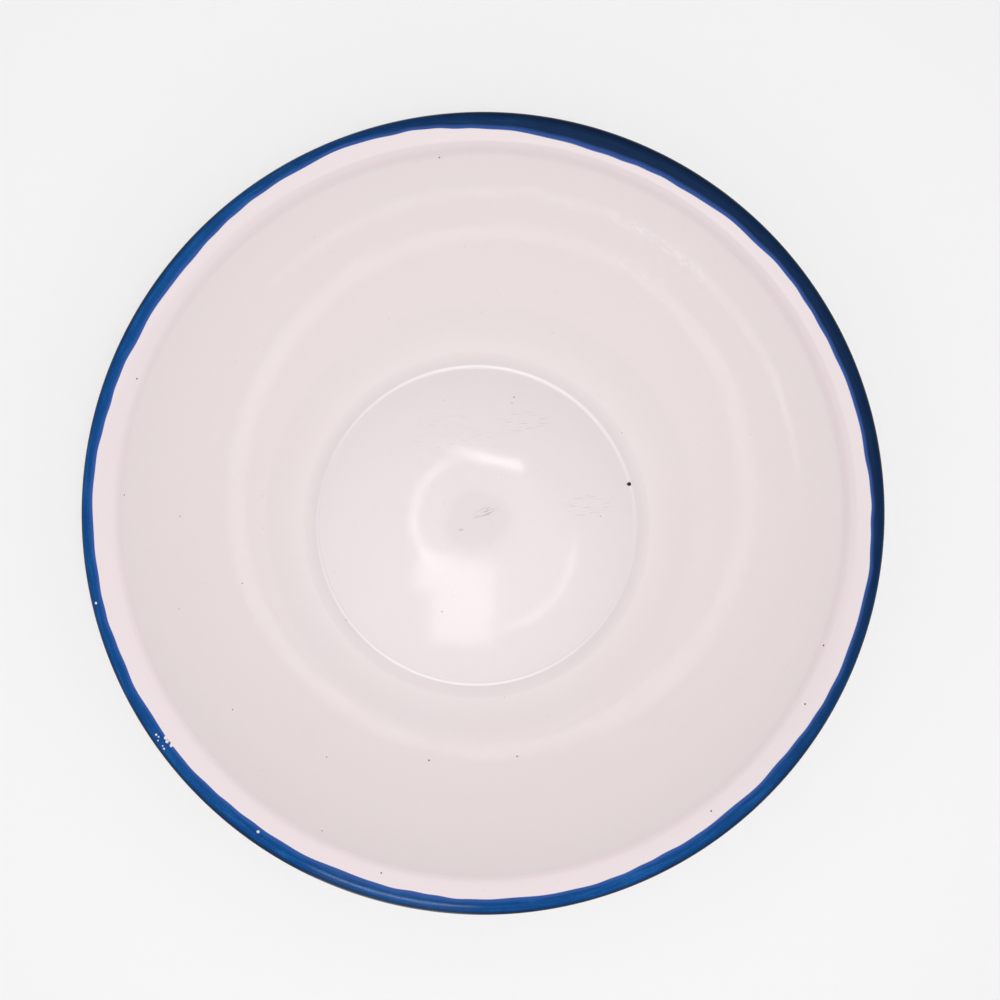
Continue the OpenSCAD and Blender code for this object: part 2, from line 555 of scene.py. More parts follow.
def bearings(count, fine):
    """Bearings once round, in degrees, closer together in the fine zones of (middle, half, step)."""
    found = [360 * i / count for i in range(count)]
    for middle, half, step in fine:
        found = [b for b in found if abs(b - middle) > half]
        steps = round(2 * half / step)
        found += [middle - half + 2 * half * i / steps for i in range(steps + 1)]
    return sorted(found) + [360.0]


def placed_object(name, data):
    """An object in the scene."""
    made = bpy.data.objects.new(name, data)
    bpy.context.scene.collection.objects.link(made)
    return made


def this_section():
    """The section from the sizes that are set in the scene."""
    return Section(bpy.context.scene.bowl_shape, bpy.context.scene.bowl_coats)


def line_object(name, points, **attributes):
    """A line through points, with values on the points, for a tree to read. Only inward is a vector."""
    mesh = bpy.data.meshes.new(name)
    mesh.from_pydata(points, [(i, i + 1) for i in range(len(points) - 1)], [])
    for label, values in attributes.items():
        kind, field = ("FLOAT_VECTOR", "vector") if label == "inward" else ("FLOAT", "value")
        mesh.attributes.new(label, kind, "POINT").data.foreach_set(field, values)
    return placed_object(name, mesh)


def path_object(section):
    """The sheet's middle line in the XZ plane, with the way to the inside of the bowl at each point."""
    inward = []
    for station in section.path:
        turn = math.radians(station.heading + 90)
        inward += [math.cos(turn), 0, math.sin(turn)]
    return line_object("sheet_path", [(s.r, 0, s.z) for s in section.path], inward=inward)


def rows_object(rows):
    """The rows of a coat, each at (run, off)."""
    return line_object("coat_rows", [(row.run, row.off, 0) for row in rows],
                       shown=[row.shown for row in rows], slack=[row.slack for row in rows],
                       give=[row.give for row in rows])


def ring_object(turns, wander):
    """The ways out from the axis, with how far the brushed edge wanders at each."""
    ways = [(math.cos(math.radians(t)), math.sin(math.radians(t)), 0) for t in turns]
    return line_object("coat_ring", ways, wander=[wander(t) for t in turns])


def flaws_object(section, flaws, off):
    """The middles of the flaws on a face, with their radii and depths."""
    return line_object("coat_flaws", [section.point_on(flaw.bearing, flaw.r, off) for flaw in flaws],
                       radius=[flaw.radius for flaw in flaws], depth=[flaw.depth for flaw in flaws])


class Wiring:
    """Lays nodes in a tree and joins them, so that each effect reads like a sum."""

    def __init__(self, tree):
        self.tree = tree

    def node(self, kind, inputs=None, **settings):
        """A node with its settings, whose inputs are values or the sockets that feed them."""
        made = self.tree.nodes.new(kind)
        for name, value in settings.items():
            setattr(made, name, value)
        for name, value in (inputs or {}).items():
            self.fill(made.inputs[name], value)
        return made

    def out(self, kind, inputs=None, **settings):
        """The first output of a node."""
        return self.node(kind, inputs, **settings).outputs[0]

    def fill(self, socket, value):
        """Joins a socket to an input, or sets its value. A colour is opaque."""
        if isinstance(value, bpy.types.NodeSocket):
            self.tree.links.new(value, socket)
        else:
            socket.default_value = (*value, 1.0) if socket.type == "RGBA" else value

    def dress(self, made, **values):
        """Fills the inputs of a node, whose names have _ for each space."""
        for name, value in values.items():
            self.fill(made.inputs[name.replace("_", " ")], value)
        return made.outputs

    def maths(self, operation, *values, clamp=False):
        """The result of a Math node."""
        return self.out("ShaderNodeMath", dict(enumerate(values)), operation=operation, use_clamp=clamp)

    def plus(self, first, second, clamp=False):
        """The sum of two values."""
        return self.maths("ADD", first, second, clamp=clamp)

    def minus(self, first, second):
        """What is left of a value."""
        return self.maths("SUBTRACT", first, second)

    def times(self, product, *others):
        """The product of two or more values."""
        for other in others:
            product = self.maths("MULTIPLY", product, other)
        return product

    def greatest(self, found, *others):
        """The greatest of two or more values."""
        for other in others:
            found = self.maths("MAXIMUM", found, other)
        return found

    def gap(self, first, second):
        """How far one value is from another."""
        return self.maths("ABSOLUTE", self.minus(first, second))

    def vector(self, operation, *values):
        """The vector from a Vector Math node."""
        return self.out("ShaderNodeVectorMath", dict(enumerate(values)), operation=operation)

    def size_of(self, vector):
        """The length of a vector."""
        return self.node("ShaderNodeVectorMath", {0: vector}, operation="LENGTH").outputs["Value"]

    def scaled(self, vector, factor):
        """A vector times a number."""
        return self.out("ShaderNodeVectorMath", {0: vector, "Scale": factor}, operation="SCALE")

    def parts(self, vector):
        """The X, Y and Z of a vector."""
        return self.node("ShaderNodeSeparateXYZ", {0: vector}).outputs

    def joined(self, x, y, z):
        """A vector from its X, Y and Z."""
        return self.out("ShaderNodeCombineXYZ", {0: x, 1: y, 2: z})

    def facing(self, way, bearing):
        """How far a way goes along a bearing in degrees. A way of length 1 goes from -1 to 1."""
        turn = math.radians(bearing)
        return self.node("ShaderNodeVectorMath", {0: way, 1: (math.cos(turn), math.sin(turn), 0.0)},
                         operation="DOT_PRODUCT").outputs["Value"]

    def local(self, place, middle, angle):
        """A place seen from a middle that is turned by an angle in radians."""
        return self.out("ShaderNodeVectorRotate", {"Vector": self.vector("SUBTRACT", place, middle),
                                                   "Angle": angle}, rotation_type="Z_AXIS", invert=True)

    def ramp(self, value, start, end, low=0.0, high=1.0):
        """A smooth rise from low at start to high at end."""
        return self.out("ShaderNodeMapRange", {"Value": value, "From Min": start, "From Max": end,
                                               "To Min": low, "To Max": high},
                        interpolation_type="SMOOTHSTEP")

    def noise(self, place, size, detail=2.0, roughness=0.5, output=0):
        """Noise whose clouds are about size across, as a value or, from output 1, as a colour."""
        scale = self.maths("DIVIDE", 1.0, size) if isinstance(size, bpy.types.NodeSocket) else 1 / size
        return self.node("ShaderNodeTexNoise", {"Vector": place, "Scale": scale, "Detail": detail,
                                                "Roughness": roughness}).outputs[output]

    def mix(self, factor, first, second):
        """One colour turning into another."""
        return self.node("ShaderNodeMix", {0: factor, 6: first, 7: second}, data_type="RGBA").outputs[2]

    def bumped(self, height, distance):
        """A normal from a height."""
        return self.out("ShaderNodeBump", {"Height": height, "Distance": distance, "Strength": 1.0})

    def attribute(self, label, kind="FLOAT"):
        """A value that a mesh carries, in a geometry tree."""
        return self.out("GeometryNodeInputNamedAttribute", {"Name": label}, data_type=kind)

    def keep(self, geometry, label, value, kind="FLOAT"):
        """A mesh that carries one more value on its points."""
        made = self.node("GeometryNodeStoreNamedAttribute", {"Geometry": geometry, "Name": label},
                         data_type=kind, domain="POINT")
        return self.dress(made, Value=value)[0]

    def moved(self, geometry, distance):
        """A coat whose points have moved a distance towards the inside of the bowl."""
        offset = self.scaled(self.attribute("inward", "FLOAT_VECTOR"), distance)
        return self.out("GeometryNodeSetPosition", {"Geometry": geometry, "Offset": offset})

    def finished(self, geometry, material):
        """One smooth mesh with its material."""
        shape = self.out("GeometryNodeRealizeInstances", {"Geometry": geometry})
        shape = self.out("GeometryNodeSetShadeSmooth", {"Geometry": shape})
        return self.out("GeometryNodeSetMaterial", {"Geometry": shape, "Material": material})


# Inputs of the groups that aren't plain numbers
SOCKET_KINDS = {
    **dict.fromkeys(("Path", "Rows", "Ring", "Flaws", "Coat", "Placed"), "Object"),
    "Material": "Material",
    "Seed": "Int",
    "Place": "Vector",
    "Middle": "Vector",
}


def new_group(name, kind, output, **inputs):
    """A node group with one output, its wiring, its input sockets and the function that ends it.

    The inputs are named with _ for each space, and have their defaults.
    """
    tree = bpy.data.node_groups.new(name, kind)
    for label, default in inputs.items():
        made = tree.interface.new_socket(label.replace("_", " "), in_out="INPUT",
                                         socket_type="NodeSocket" + SOCKET_KINDS.get(label, "Float"))
        if default is not None:
            made.default_value = default
    socket = "NodeSocketGeometry" if output == "Geometry" else "NodeSocketFloat"
    tree.interface.new_socket(output, in_out="OUTPUT", socket_type=socket)
    w = Wiring(tree)
    given = w.node("NodeGroupInput").outputs
    result = w.node("NodeGroupOutput").inputs[output]

    def end(value):
        w.fill(result, value)
        return tree

    return w, given, end


def effect(w, name, **values):
    """The output of a shader group in a material. Its inputs are named with _ for each space."""
    tree = bpy.data.node_groups.get(name) or GROUP_MAKERS[name]()
    return w.dress(w.node("ShaderNodeGroup", node_tree=tree), **values)[0]


def coat_tree():
    """The tree that turns a coat round the axis: rows along the sheet by ways out from the axis."""
    w, given, end = new_group("turned_coat", "GeometryNodeTree", "Geometry", Path=None, Rows=None,
                              Ring=None, Flaws=None, Ripple_height=0.0, Ripple_size=0.02,
                              Flaw_raggedness=0.5, Material=None)

    def count_of(geometry):
        return w.node("GeometryNodeAttributeDomainSize", {0: geometry}).outputs["Point Count"]

    def read(geometry, value, index, kind="FLOAT"):
        made = w.node("GeometryNodeSampleIndex", {"Geometry": geometry, "Index": index}, data_type=kind)
        return w.dress(made, Value=value)[0]

    path, rows, ring, flaws = (
        w.node("GeometryNodeObjectInfo", {"Object": given[name]}).outputs["Geometry"]
        for name in ("Path", "Rows", "Ring", "Flaws"))
    columns = count_of(ring)
    place = w.out("GeometryNodeInputPosition")
    grid = w.out("GeometryNodeMeshGrid", {"Vertices X": count_of(rows), "Vertices Y": columns})

    index = w.out("GeometryNodeInputIndex")
    row = w.out("FunctionNodeIntegerMath", {0: index, 1: columns}, operation="DIVIDE_FLOOR")
    column = w.out("FunctionNodeIntegerMath", {0: index, 1: columns}, operation="MODULO")
    row_place = w.parts(read(rows, place, row, "FLOAT_VECTOR"))
    way = w.parts(read(ring, place, column, "FLOAT_VECTOR"))
    slack = read(rows, w.attribute("slack"), row)
    wander = read(ring, w.attribute("wander"), column)
    run = w.plus(row_place[0], w.times(slack, wander))

    curve = w.out("GeometryNodeMeshToCurve", {"Mesh": path})
    station = w.node("GeometryNodeSampleCurve", {"Curves": curve, "Length": run},
                     mode="LENGTH", data_type="FLOAT_VECTOR")
    w.dress(station, Value=w.attribute("inward", "FLOAT_VECTOR"))
    inward = w.vector("NORMALIZE", station.outputs["Value"])
    point = w.vector("ADD", station.outputs["Position"], w.scaled(inward, row_place[1]))

    def turned(flat):
        across, _, up = w.parts(flat)
        return w.joined(w.times(across, way[0]), w.times(across, way[1]), up)

    shape = w.keep(grid, "sweep", w.joined(way[0], way[1], row_place[0]), "FLOAT_VECTOR")
    for label in ("shown", "give"):
        shape = w.keep(shape, label, read(rows, w.attribute(label), row))
    shape = w.keep(shape, "inward", turned(inward), "FLOAT_VECTOR")
    shape = w.out("GeometryNodeSetPosition", {"Geometry": shape, "Position": turned(point)})

    # Slow ripples lift both faces of the coat together, so it keeps its thickness
    lift = w.minus(w.noise(place, given["Ripple size"], detail=1.5), 0.5)
    shape = w.moved(shape, w.times(lift, 2.0, given["Ripple height"], w.attribute("give")))

    # A flaw sinks the coat below the one under it, with a ragged outline
    nearest = w.out("GeometryNodeSampleNearest", {"Geometry": flaws, "Sample Position": place},
                    domain="POINT")
    radius = read(flaws, w.attribute("radius"), nearest)
    depth = read(flaws, w.attribute("depth"), nearest)
    gap = w.vector("SUBTRACT", place, read(flaws, place, nearest, "FLOAT_VECTOR"))
    jagged = w.vector("SUBTRACT", w.noise(place, 0.6 * MM, detail=3.0, output=1), (0.5, 0.5, 0.5))
    jagged = w.scaled(jagged, w.times(radius, given["Flaw raggedness"]))
    share = w.maths("DIVIDE", w.size_of(w.vector("ADD", gap, jagged)), radius)
    shape = w.moved(shape, w.times(w.ramp(share, 1.0, 0.75), depth, -1.0))

    shape = w.out("GeometryNodeMergeByDistance", {"Geometry": shape, "Distance": 0.0005 * MM})
    return end(w.finished(shape, given["Material"]))


def speck_tree():
    """The tree that scatters specks over a coat and adds those that are listed."""
    w, given, end = new_group("fired_specks", "GeometryNodeTree", "Geometry", Coat=None, Placed=None,
                              Density=500.0, Smallest=0.1 * MM, Largest=0.2 * MM, Seed=1, Material=None)
    coat, placed = (w.node("GeometryNodeObjectInfo", {"Object": given[name]}).outputs["Geometry"]
                    for name in ("Coat", "Placed"))
    place = w.out("GeometryNodeInputPosition")
    bare = w.maths("GREATER_THAN", w.attribute("shown"), 0.99)
    loose = w.out("GeometryNodeDistributePointsOnFaces", {
        "Mesh": coat, "Density": given["Density"], "Seed": given["Seed"], "Selection": bare},
        distribute_method="RANDOM")
    small = w.node("FunctionNodeRandomValue", {2: given["Smallest"], 3: given["Largest"], 8: given["Seed"]},
                   data_type="FLOAT").outputs[1]
    both = w.node("GeometryNodeJoinGeometry")
    w.fill(both.inputs[0], w.keep(loose, "speck_radius", small))
    w.fill(both.inputs[0], w.out("GeometryNodeMeshToPoints", {"Mesh": placed}))
    facing = w.node("GeometryNodeSampleNearestSurface", {"Mesh": coat}, data_type="FLOAT_VECTOR")
    facing = w.dress(facing, Value=w.out("GeometryNodeInputNormal"), Sample_Position=place)[0]
    turn = w.out("FunctionNodeAlignRotationToVector", {"Vector": facing}, axis="Z")
    radius = w.attribute("speck_radius")
    bead = w.out("GeometryNodeMeshIcoSphere", {"Radius": 1.0, "Subdivisions": 2})
    shape = w.out("GeometryNodeInstanceOnPoints", {
        "Points": both.outputs[0], "Instance": bead, "Rotation": turn,
        "Scale": w.joined(radius, radius, w.times(radius, SPECK_FLATNESS))})
    return end(w.finished(shape, given["Material"]))


def grown(name, tree, values):
    """A plain mesh object that a geometry tree makes from named values."""
    made = placed_object(name, bpy.data.meshes.new(name + "_seed"))
    modifier = made.modifiers.new("grow", "NODES")
    modifier.node_group = tree
    for item in tree.interface.items_tree:
        if item.in_out == "INPUT" and item.name in values:
            modifier[item.identifier] = values[item.name]
    ready = bpy.context.evaluated_depsgraph_get()
    mesh = bpy.data.meshes.new_from_object(made.evaluated_get(ready), depsgraph=ready)
    made.modifiers.clear()
    made.data = mesh
    mesh.name = name
    if len(mesh.polygons) == 0:
        raise RuntimeError(f"the tree made nothing for {name}")
    return made


def turned_coat(name, section, rows, turns, wander, flaws, off, material):
    """A coat of the bowl as a closed shell, turned round the axis."""
    coats = bpy.context.scene.bowl_coats
    tree = bpy.data.node_groups.get("turned_coat") or coat_tree()
    helpers = {
        "Path": path_object(section),
        "Rows": rows_object(rows),
        "Ring": ring_object(turns, wander),
        "Flaws": flaws_object(section, flaws, off),
    }
    made = grown(name, tree, {**helpers, "Ripple height": coats.ripple, "Ripple size": coats.ripple_size,
                              "Flaw raggedness": FLAW_RAGGEDNESS, "Material": material})
    for helper in helpers.values():
        bpy.data.objects.remove(helper)
    made.data.set_sharp_from_angle(angle=math.radians(SHARP_ANGLE))
    return made


def steady(_bearing):
    """The wander of a coat whose edge isn't brushed."""
    return 0.0


def stand_for(piece, node):
    """Puts a finished piece in the place of a solid."""
    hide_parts(node)
    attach(piece, "root")


def ripple_group():
    """The skin of fired enamel, slow ripples and a fine orange peel, as a height."""
    w, given, end = new_group("fired_skin", "ShaderNodeTree", "Height", Place=None, Wave_size=0.009,
                              Peel_size=0.0012, Peel_share=0.1)
    wave = w.noise(given["Place"], given["Wave size"], detail=1.0)
    peel = w.noise(given["Place"], given["Peel size"], detail=2.0)
    return end(w.plus(wave, w.times(peel, given["Peel share"])))


def cloud_group():
    """Soft patches of another shade, as a mask."""
    w, given, end = new_group("cloudy_shade", "ShaderNodeTree", "Mask", Place=None, Size=0.03,
                              Contrast=1.0)
    cloud = w.noise(given["Place"], given["Size"], detail=4.0, roughness=0.6)
    return end(w.plus(w.times(w.minus(cloud, 0.5), given["Contrast"]), 0.5, clamp=True))


def scuff_group():
    """A patch of fine scratches that lie nearly one way, as a mask."""
    w, given, end = new_group("hairline_scuff", "ShaderNodeTree", "Mask", Place=None, Middle=None,
                              Turn=0.0, Half_length=0.01, Half_width=0.004, Line_width=0.0003,
                              Sparseness=0.6)
    local = w.local(given["Place"], given["Middle"], given["Turn"])
    x, y, _ = w.parts(local)
    reach = w.size_of(w.joined(w.maths("DIVIDE", x, given["Half length"]),
                               w.maths("DIVIDE", y, given["Half width"]), 0.0))
    sway = w.times(w.noise(local, 8 * MM, detail=1.0), 1.5 * MM)
    lines = w.joined(w.maths("DIVIDE", x, 6 * MM),
                     w.maths("DIVIDE", w.plus(y, sway), given["Line width"]), 0.0)
    strokes = w.noise(lines, 1.0, detail=1.0)
    strokes = w.ramp(strokes, given["Sparseness"], w.plus(given["Sparseness"], 0.09))
    return end(w.times(strokes, w.ramp(reach, 1.0, 0.35)))


def speckle_group():
    """Very small dark points in the glass, as a mask."""
    w, given, end = new_group("glass_points", "ShaderNodeTree", "Mask", Place=None, Spacing=0.004,
                              Point_size=0.05, Share=0.3)
    cells = w.node("ShaderNodeTexVoronoi", {"Vector": given["Place"],
                                            "Scale": w.maths("DIVIDE", 1.0, given["Spacing"])}).outputs
    chance, spread, _ = w.parts(cells["Color"])
    size = w.times(given["Point size"], spread)
    point = w.ramp(cells["Distance"], w.plus(size, 0.02), size)
    return end(w.times(point, w.maths("LESS_THAN", chance, given["Share"])))


GROUP_MAKERS = {
    "fired_skin": ripple_group,
    "cloudy_shade": cloud_group,
    "hairline_scuff": scuff_group,
    "glass_points": speckle_group,
}


def new_material(name):
    """An empty material, its wiring, its shader and the place on the object."""
    material = bpy.data.materials.new(name)
    material.use_nodes = True
    material.node_tree.nodes.clear()
    w = Wiring(material.node_tree)
    shader = w.node("ShaderNodeBsdfPrincipled")
    w.node("ShaderNodeOutputMaterial", {"Surface": shader.outputs[0]})
    place = w.node("ShaderNodeTexCoord").outputs["Object"]
    return material, w, shader, place


def scuff_mask(w, place, scuff):
    """How strongly one patch of scratches shows."""
    mask = effect(w, "hairline_scuff", Place=place, Middle=(scuff.x * MM, scuff.y * MM, 0.0),
                  Turn=math.radians(scuff.turn), Half_length=scuff.half_length * MM,
                  Half_width=scuff.half_width * MM, Line_width=scuff.line_width * MM,
                  Sparseness=scuff.sparseness)
    return w.times(mask, scuff.weight)


def white_glaze(name, scuffs, inside):
    """White fired enamel with its soft patches, scuffs and points.

    Inside is 1 for the bowl's inside, whose floor is a darker white, whose bend has a painted highlight,
    whose middle has a painted dark reflection and whose lip has painted shade, and 0 for its outside.
    """
    colours = bpy.context.scene.bowl_colours
    material, w, shader, place = new_material(name)
    x, y, z = w.parts(place)
    flat = w.joined(x, y, 0.0)
    radius = w.size_of(flat)
    patches = effect(w, "cloudy_shade", Place=place, Size=0.045, Contrast=1.6)
    tint = w.mix(patches, colours.white, colours.white_warm)
    # The floor and its step are a darker white
    tint = w.mix(w.times(w.ramp(radius, *FLOOR_TINT), inside), tint, colours.white_floor)

    # A painted highlight runs along the bend round the floor, brightest at the top and the bottom
    way = w.vector("NORMALIZE", flat)
    ring_glint = w.plus(w.times(w.maths("POWER", w.facing(way, RING_HIGHLIGHT_BEARING), 2.0), 0.75), 0.25)
    ring_glint = w.times(ring_glint, w.ramp(w.gap(radius, RING_HIGHLIGHT_RADIUS), 0.7 * MM, 0.2 * MM), inside)
    tint = w.mix(ring_glint, tint, colours.painted_ring_highlight)

    # The middle of the floor gets a painted dark reflection, and the patches make its outline uneven
    darkened = w.plus(radius, w.times(w.minus(patches, 0.5), 12 * MM))
    tint = w.mix(w.ramp(darkened, *MIDDLE_REFLECTION, 0.0, 0.07), tint, colours.grime_and_dark_reflection)
    # Painted shade on the lip, lighter on the side where light would fall on it
    lip = w.mix(w.ramp(w.facing(way, LIP_LIGHT_BEARING), -1.0, 1.0), colours.lip_painted_shade,
                colours.lip_painted_light)
    tint = w.mix(w.times(w.ramp(z, *LIP_SHADE_HEIGHTS), inside), tint, lip)
    scratches = w.greatest(0.0, *(scuff_mask(w, place, scuff) for scuff in scuffs))
    tint = w.mix(scratches, tint, colours.grime_and_dark_reflection)
    points = effect(w, "glass_points", Place=place, Spacing=0.0045, Point_size=0.035, Share=0.35)
    tint = w.mix(w.times(points, 0.35), tint, colours.grime_and_dark_reflection)
    gloss = w.ramp(patches, 0.2, 0.8, 0.04, 0.065)
    gloss = w.plus(gloss, w.times(scratches, 0.25), clamp=True)
    skin = effect(w, "fired_skin", Place=place, Wave_size=0.012, Peel_size=0.0011, Peel_share=0.02)
    w.dress(shader, Base_Color=tint, Roughness=gloss, Normal=w.bumped(skin, 0.018 * MM), IOR=1.52)
    return material


def blue_glaze(name):
    """Blue enamel brushed over the white: streaky, thin at its edge, with painted shade on one side and on
    the bead's outer flank, where the blue has also run thick.
    """
    scene = bpy.context.scene
    colours = scene.bowl_colours
    section = this_section()
    material, w, shader, place = new_material(name)
    swept = w.node("ShaderNodeAttribute", attribute_name="sweep").outputs["Vector"]
    way_x, way_y, run = w.parts(swept)
    stretch = scene.bowl_shape.rim_width / 2 / STREAK_LENGTH
    streak_place = w.joined(w.times(way_x, stretch), w.times(way_y, stretch),
                            w.maths("DIVIDE", run, STREAK_WIDTH))
    streaks = w.noise(streak_place, 1.0, detail=3.0, roughness=0.65)
    speckle = w.noise(place, 0.35 * MM, detail=2.0, roughness=0.7)
    patches = effect(w, "cloudy_shade", Place=place, Size=0.012, Contrast=1.8)
    thin = w.plus(w.times(streaks, 0.6), w.times(speckle, 0.4))
    thin = w.plus(thin, w.times(w.minus(patches, 0.5), 0.18))
    tint = w.mix(w.ramp(thin, 0.44, 0.74), colours.blue, colours.blue_light)

    # Painted shade darkens the blue on the side away from the light
    way = w.joined(way_x, way_y, 0.0)
    shaded_side = w.times(w.ramp(w.facing(way, SHADED_BEARING), -0.3, 0.9), 0.85)
    tint = w.mix(shaded_side, tint, colours.blue_thick_and_shaded)
    # The bead's outer flank is darker: the blue has run thick there, and painted shade darkens it as well
    bead_top = section.curl_start + section.curl_r * math.radians(section.lip_rise)
    unsteady = w.times(w.minus(streaks, 0.5), 0.9 * MM)
    dark_flank = w.ramp(w.plus(run, unsteady), bead_top + 0.3 * MM, bead_top + 1.6 * MM)
    tint = w.mix(dark_flank, tint, colours.blue_thick_and_shaded)

    # Towards its edge the blue turns violet, and the last of it is a pale line
    edge = section.station_at_radius(scene.bowl_rim.edge, section.white_in).run
    unsteady = w.times(w.minus(speckle, 0.5), 0.5 * MM)
    from_edge = w.plus(w.minus(run, edge), unsteady)
    tint = w.mix(w.ramp(from_edge, 1.5 * MM, 0.5 * MM, 0.0, 0.75), tint, colours.blue_violet)
    tint = w.mix(w.ramp(from_edge, 0.3 * MM, 0.0, 0.0, 0.7), tint, colours.blue_halo)

    # The blue is glossy where hands have polished it, and low on the bead's outside
    polished = w.ramp(w.facing(way, POLISHED_BEARING), 0.968, 0.99)
    polished = w.times(polished, w.ramp(speckle, 0.3, 0.5, 0.4, 1.0))
    flank = w.ramp(run, bead_top + 1.9 * MM, bead_top + 3.0 * MM)
    skin = effect(w, "fired_skin", Place=place, Wave_size=0.006, Peel_size=0.0007, Peel_share=0.12)
    skin = w.plus(skin, w.times(streaks, 0.25))
    w.dress(shader, Base_Color=tint, Roughness=w.ramp(thin, 0.3, 0.75, 0.32, 0.42),
            Coat_Weight=w.greatest(polished, flank), Normal=w.bumped(skin, 0.02 * MM),
            Specular_IOR_Level=0.1, Coat_Roughness=0.08)
    return material


def ground_glaze(name):
    """The near-black ground coat, with paler points in it."""
    colours = bpy.context.scene.bowl_colours
    material, w, shader, place = new_material(name)
    patches = effect(w, "cloudy_shade", Place=place, Size=0.004, Contrast=2.0)
    points = effect(w, "glass_points", Place=place, Spacing=0.0011, Point_size=0.12, Share=0.3)
    tint = w.mix(w.times(patches, 0.12), colours.ground, colours.blue_thick_and_shaded)
    tint = w.mix(w.times(points, 0.08), tint, colours.steel)
    skin = effect(w, "fired_skin", Place=place, Wave_size=0.002, Peel_size=0.0004, Peel_share=0.3)
    w.dress(shader, Base_Color=tint, Roughness=w.ramp(patches, 0.2, 0.8, 0.25, 0.45),
            Normal=w.bumped(skin, 0.01 * MM))
    return material


def drawn_steel(name):
    """Drawn sheet steel with the rings that the press leaves, and a bloom of rust."""
    material, w, shader, place = new_material(name)
    x, y, z = w.parts(place)
    radius = w.size_of(w.joined(x, y, 0.0))
    rings = w.noise(w.joined(w.maths("DIVIDE", radius, 0.4 * MM), w.maths("DIVIDE", z, 0.4 * MM), 0.0), 1.0)
    rust = effect(w, "cloudy_shade", Place=place, Size=0.02, Contrast=2.5)
    tint = w.mix(w.ramp(rust, 0.6, 0.9, 0.0, 0.5), bpy.context.scene.bowl_colours.steel, RUST)
    w.dress(shader, Base_Color=tint, Metallic=w.ramp(rust, 0.9, 0.6),
            Roughness=w.ramp(rings, 0.3, 0.7, 0.28, 0.48), Normal=w.bumped(rings, 0.01 * MM))
    return material


def finish_for(name, maker, *values):
    """A material by its name, made the first time that it is asked for."""
    return bpy.data.materials.get(name) or maker(name, *values)


class BOWL_OT_hidden_sheet(bpy.types.Operator):
    """Finishes the steel sheet and the ground coats, which show only through the flaws"""

    bl_idname = "bowl.hidden_sheet"
    bl_label = "Steel and ground coats"

    def execute(self, context):
        finishes = {
            "steel_bowl": finish_for("drawn_steel", drawn_steel),
            "inner_ground_coat": finish_for("ground_glaze", ground_glaze),
            "outer_ground_coat": finish_for("ground_glaze", ground_glaze),
        }
        for name, material in finishes.items():
            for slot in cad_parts[name].material_slots:
                slot.material = material
        return {"FINISHED"}


class BOWL_OT_inner_glaze(bpy.types.Operator):
    """Turns the white coat of the inside, which runs on under the blue and round the bead"""

    bl_idname = "bowl.inner_glaze"
    bl_label = "Inner white enamel"

    def execute(self, context):
        section = this_section()
        pinhole = WHITE_FLAWS[0]
        pinhole_run = section.station_at_radius(pinhole.r, section.white_in).run
        chips_run = section.station_at_radius(WHITE_FLAWS[1].r, section.white_in).run

        # Rows and turns lie closer together where the outline of a flaw has to be round
        fine_rows = [(pinhole_run, 1.3 * MM, 0.15 * MM), (chips_run, 1.6 * MM, 0.2 * MM)]
        front = runs_between(section, 0, section.curl_end, 1.7 * MM, 5, fine_rows)
        back = runs_between(section, 0, section.curl_end, 6 * MM, 14)
        rows = [Row(s.run, section.white_in, rim_calm(section, s), give=floor_calm(section, s))
                for s in front]
        rows += [Row(s.run, section.ground, 0.0, give=floor_calm(section, s)) for s in reversed(back)]
        turns = bearings(WHITE_TURNS, [(pinhole.bearing, 1.25, 0.13), (215.85, 0.8, 0.1)])
        material = finish_for("inner_white_glaze", white_glaze, FLOOR_SCUFFS, 1.0)
        piece = turned_coat("inner_white_coat", section, rows, turns, steady, WHITE_FLAWS, section.white_in,
                            material)
        stand_for(piece, "inner_white_enamel")
        return {"FINISHED"}


def rim_calm(section, station):
    """How much of the ripple a station takes: less on the bead, whose shape is rolled true."""
    return BEAD_GIVE if station.run > section.curl_start - 4 * MM else 1.0


def foot_calm(section, station):
    """How much of the ripple the outside takes: none on the flat floor that it stands on."""
    return 0.0 if station.r < section.foot else rim_calm(section, station)


def floor_calm(section, station):
    """How much of the ripple the inside takes: little on the floor, which mirrors the lamp nearly flat."""
    return FLOOR_GIVE if station.r < section.foot else rim_calm(section, station)


